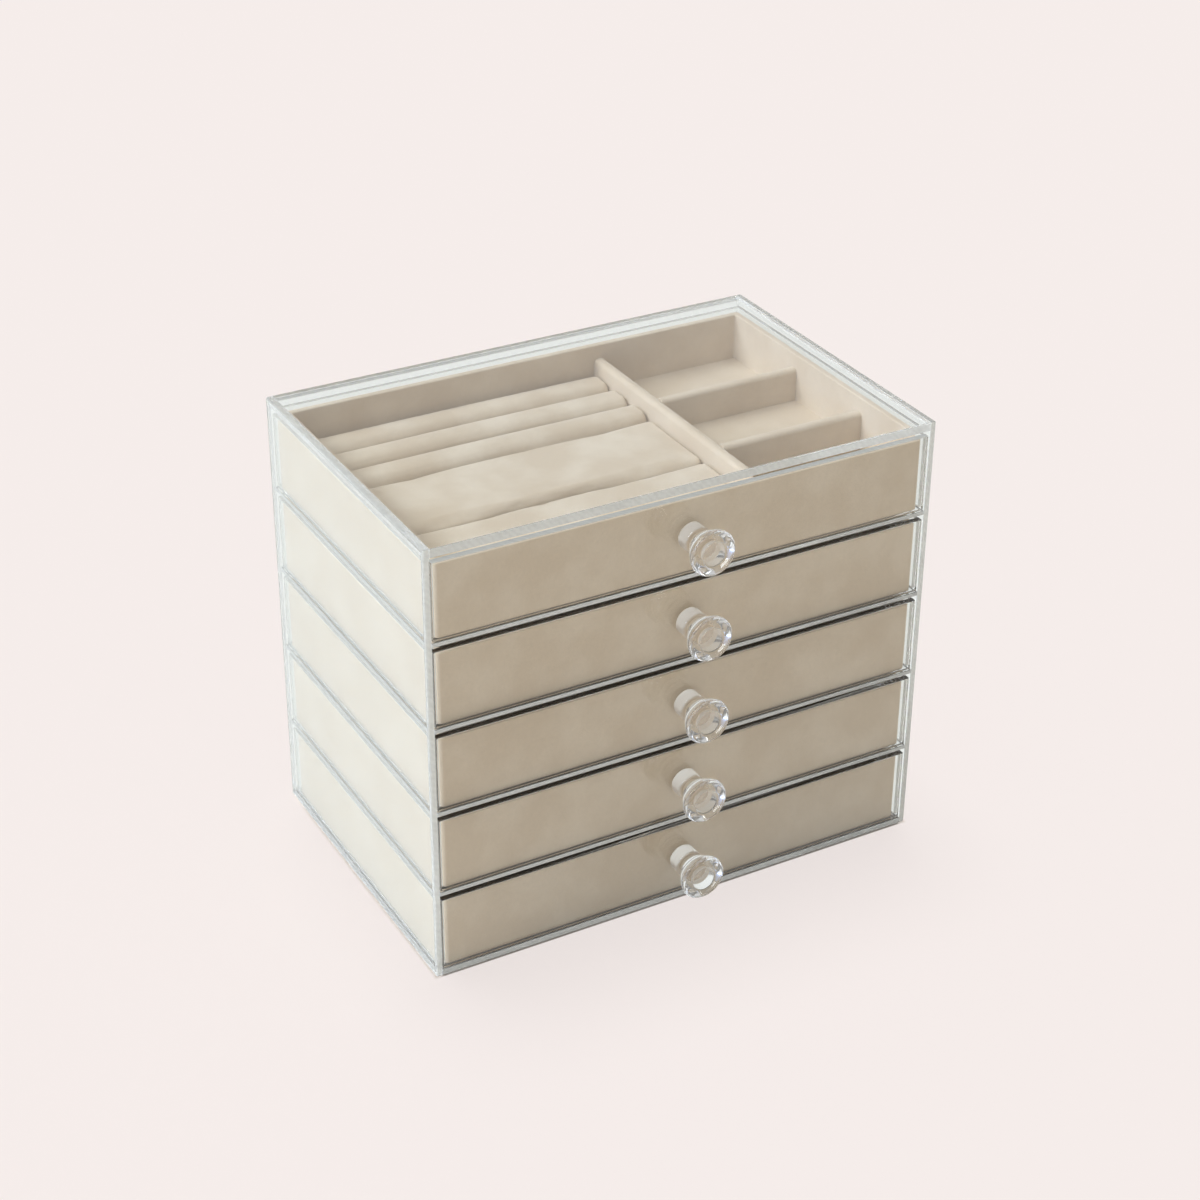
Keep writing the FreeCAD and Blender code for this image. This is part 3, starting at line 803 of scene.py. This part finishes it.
class ORGANIZER_OT_knobs(bpy.types.Operator):
    """Turn the clear knobs"""

    bl_idname = "organizer.knobs"
    bl_label = "Knobs"

    def execute(self, context):
        for drawer in DRAWERS:
            node = f"drawer_{drawer}_knob"
            piece = self.turn(node, f"drawer_{drawer}_turned_knob")
            finishes = (get_material("turned_acrylic", clear_finish, wiped=0.006),
                        get_material("matt_acrylic", clear_finish, wiped=0.003, matt=0.12, clarity=0.86),
                        get_material("cemented_acrylic", cement_finish))
            dress(piece, f"drawer_{drawer}", "clear_knob", finishes, node)
        return {"FINISHED"}

    def turn(self, node, name):
        """Spin the knob's profile about its axis, which points to the front."""
        knob = settings().knobs
        low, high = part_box(node)
        axis = Vector(((low.x + high.x) / 2, 0, (low.z + high.z) / 2))
        head = (high.x - low.x) / 2
        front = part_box(node.replace("knob", "front"))[0].y
        foot = front - knob.bond_line
        base_end = front - knob.base_length
        neck_end = base_end - knob.neck_length
        recess = low.y + knob.recess_depth
        profile = (
            (0, foot, 0), (knob.base_radius, foot, 0), (knob.base_radius, base_end, knob.rim_rounding),
            (knob.neck_radius, base_end, 0), (knob.neck_radius, neck_end, 0),
            (knob.back_radius, neck_end, knob.rim_rounding), (head, low.y + knob.rim_length, knob.rim_rounding),
            (head, low.y, knob.head_rounding),
            (knob.recess_radius, low.y, knob.rim_rounding), (knob.recess_radius, recess, 0), (0, recess, 0))
        mesh = bmesh.new()
        corners = [mesh.verts.new((axis.x + reach, y, axis.z)) for reach, y, _ in profile]
        for first, second in zip(corners, corners[1:]):
            mesh.edges.new((first, second))
        for corner, (_, _, radius) in zip(corners, profile):
            if radius:
                bmesh.ops.bevel(mesh, geom=[corner], offset=radius, offset_type="OFFSET", affect="VERTICES",
                                segments=TURNED_STEPS, profile=0.5, material=-1)
        bmesh.ops.spin(mesh, geom=mesh.verts[:] + mesh.edges[:], cent=axis, axis=(0, 1, 0),
                       angle=math.tau, steps=knob.steps, use_merge=True)
        bmesh.ops.remove_doubles(mesh, verts=mesh.verts[:], dist=TOUCHING)
        for face in mesh.faces:
            middle = face.calc_center_median()
            reach = math.hypot(middle.x - axis.x, middle.z - axis.z)
            if middle.y > foot - TOUCHING:
                face.material_index = KNOB_FOOT
            elif middle.y < recess + TOUCHING and reach < knob.recess_radius:
                face.material_index = KNOB_RECESS
        return finished(name, mesh, smooth_angle=50)


class ORGANIZER_OT_trays(bpy.types.Operator):
    """Wrap the trays and their dividers in velvet"""

    bl_idname = "organizer.trays"
    bl_label = "Velvet trays"

    def execute(self, context):
        for drawer in DRAWERS:
            body = f"drawer_{drawer}"
            nodes = [f"{body}_liner_floor", f"{body}_liner_walls"]
            dress(self.tray(f"{body}_tray", *nodes), body, "velvet_board", tray_velvet(), *nodes)
            boards = self.boards(f"{body}_wrapped_dividers", f"{body}_dividers")
            dress(boards, body, "velvet_board", tray_velvet(), f"{body}_dividers")
        return {"FINISHED"}

    def tray(self, name, floor, walls):
        """A rounded block, its top sunk between the walls and its front reaching down past the base."""
        velvet = settings().velvet
        floor_low, floor_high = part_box(floor)
        walls_low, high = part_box(walls)
        low = Vector((walls_low.x, walls_low.y, floor_low.z))
        mesh = bmesh.new()
        bmesh.ops.create_cube(mesh, size=1, matrix=between(low, high))
        top = max(mesh.faces, key=lambda face: face.calc_center_median().z)
        bmesh.ops.inset_region(mesh, faces=[top], thickness=wall_thickness(), use_even_offset=True)
        self.push(mesh, top, floor_high.z - high.z)
        for foot, radius in ((low.z, velvet.corner_radius), (floor_high.z, velvet.inner_radius)):
            upright = [edge for edge in mesh.edges if is_along(edge, 2) and stands_at(edge, foot)]
            bevel(mesh, upright, radius, ROUND_STEPS)
        under = min(mesh.faces, key=lambda face: face.calc_center_median().z)
        bmesh.ops.bisect_plane(mesh, geom=[under, *under.edges, *under.verts], dist=CUT_REACH,
                               plane_co=(0, low.y + wall_thickness(), 0), plane_no=(0, 1, 0))
        flat = [face for face in mesh.faces
                if all(abs(vert.co.z - low.z) < TOUCHING for vert in face.verts)]
        self.push(mesh, min(flat, key=lambda face: face.calc_center_median().y), walls_low.z - low.z)
        rim = [edge for edge in mesh.edges if at_height(edge, high.z) and not is_spoke(edge)]
        bevel(mesh, rim, velvet.rim_radius, RIM_STEPS)
        hem = [edge for edge in mesh.edges if at_height(edge, walls_low.z)]
        bevel(mesh, hem, velvet.foot_radius, SMALL_STEPS)
        return finished(name, mesh)

    def push(self, mesh, face, depth):
        """Move a face up or down, with new sides round it."""
        moved = bmesh.ops.extrude_face_region(mesh, geom=[face])["geom"]
        bmesh.ops.delete(mesh, geom=[face], context="FACES_ONLY")
        verts = [part for part in moved if isinstance(part, bmesh.types.BMVert)]
        bmesh.ops.translate(mesh, verts=verts, vec=(0, 0, depth))

    def boards(self, name, node):
        """Boards with a round velvet top."""
        mesh = bmesh.new()
        for low, high in loose_boxes(node):
            before = set(mesh.edges)
            bmesh.ops.create_cube(mesh, size=1, matrix=between(low, high))
            size = high - low
            along = 0 if size.x > size.y else 1
            tops = [edge for edge in mesh.edges if edge not in before
                    and is_along(edge, along) and at_height(edge, high.z)]
            bevel(mesh, tops, settings().velvet.divider_radius, ROUND_STEPS)
        return finished(name, mesh)


class ORGANIZER_OT_padding(bpy.types.Operator):
    """Fill the ring rolls and the flat pads of the top drawer"""

    bl_idname = "organizer.padding"
    bl_label = "Padding"

    def execute(self, context):
        padding = settings().padding
        for name in RING_ROLLS:
            self.fill(name, padding.roll_rounding, ROLL_FILL)
        for name in FLAT_PADS:
            self.fill(name, padding.pad_rounding, PAD_FILL)
        return {"FINISHED"}

    def fill(self, name, rounding, fullness):
        """Cut one padded piece, fill it and dress it."""
        node = f"drawer_1_{name}"
        piece = self.cut(f"{node}_velvet", node, rounding)
        self.inflate(piece, *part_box(node))
        soften = piece.modifiers.new("soft_surface", "SUBSURF")
        soften.levels = soften.render_levels = 1
        finishes = (get_material("padded_velvet", velvet_finish, nap=0.0004, brushing=0.9),)
        dress(piece, "drawer_1", "velvet_padding", finishes, node)

    def cut(self, name, node, rounding):
        """A block a little smaller than the space, rounded above, in small even cells."""
        padding = settings().padding
        low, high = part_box(node)
        slack = Vector((padding.slack, padding.slack, 0))
        low, high = low + slack, high - slack - Vector((0, 0, padding.swell))
        mesh = bmesh.new()
        bmesh.ops.create_cube(mesh, size=1, matrix=between(low, high))
        shoulders = [edge for edge in mesh.edges if at_height(edge, high.z) and is_along(edge, 0)]
        bevel(mesh, shoulders, rounding, ROUND_STEPS)
        ends = [edge for edge in mesh.edges if edge.calc_face_angle() > SQUARE
                and max(vert.co.z for vert in edge.verts) > low.z + rounding / 2]
        bevel(mesh, ends, padding.end_rounding, SMALL_STEPS)
        piece = finished(name, mesh)
        piece.modifiers.clear()
        cells = piece.modifiers.new("cells", "REMESH")
        cells.mode = "VOXEL"
        cells.voxel_size = padding.cell
        self.apply(piece)
        return piece

    def apply(self, piece):
        """Make the shape that the modifiers give the piece's own mesh."""
        graph = bpy.context.evaluated_depsgraph_get()
        shape = bpy.data.meshes.new_from_object(piece.evaluated_get(graph))
        shape.name = piece.name
        piece.modifiers.clear()
        piece.data = shape
        shape.shade_smooth()

    def inflate(self, piece, low, high):
        """Fill the cloth with pressure, hold it within its space, and flat on what it rests on."""
        padding = settings().padding
        start = [vert.co.copy() for vert in piece.data.vertices]
        cloth = piece.modifiers.new("cloth", "CLOTH")
        cloth.settings.use_pressure = True
        cloth.settings.uniform_pressure_force = padding.pressure
        cloth.settings.effector_weights.gravity = 0
        cloth.collision_settings.use_collision = False
        cloth.point_cache.frame_end = padding.steps
        scene = bpy.context.scene
        for step in range(1, padding.steps + 1):
            scene.frame_set(step)
        self.apply(piece)
        scene.frame_set(1)
        for vert, before in zip(piece.data.vertices, start):
            move = vert.co - before
            if move.length > padding.swell:
                move *= padding.swell / move.length
            place = before + move
            vert.co = Vector(min(max(place[axis], low[axis]), high[axis]) for axis in range(3))


class ORGANIZER_PT_panel(bpy.types.Panel):
    """Settings and operators of the organizer"""

    bl_idname = "ORGANIZER_PT_panel"
    bl_label = "Organizer"
    bl_space_type = "VIEW_3D"
    bl_region_type = "UI"
    bl_category = "Organizer"

    def draw(self, context):
        for group in ("sheets", "knobs", "velvet", "padding", "stage"):
            box = self.layout.box()
            values = getattr(context.scene.organizer, group)
            for name in type(values).__annotations__:
                box.prop(values, name)
        for operator in OPERATORS:
            self.layout.operator(operator.bl_idname)


OPERATORS = (ORGANIZER_OT_stage, ORGANIZER_OT_sheets, ORGANIZER_OT_knobs, ORGANIZER_OT_trays,
             ORGANIZER_OT_padding)
CLASSES = (ClearSheetSettings, KnobSettings, VelvetSettings, PaddingSettings, StageSettings, OrganizerSettings,
           *OPERATORS, ORGANIZER_PT_panel)


def register():
    """Add the settings, the operators and the panel to Blender."""
    for item in CLASSES:
        bpy.utils.register_class(item)
    bpy.types.Scene.organizer = PointerProperty(type=OrganizerSettings)


def unregister():
    """Take them out again."""
    del bpy.types.Scene.organizer
    for item in reversed(CLASSES):
        bpy.utils.unregister_class(item)


def main():
    """Dress the organizer."""
    register()
    bpy.ops.organizer.stage()
    bpy.ops.organizer.sheets()
    bpy.ops.organizer.knobs()
    bpy.ops.organizer.trays()
    bpy.ops.organizer.padding()


if __name__ == "__main__":
    main()
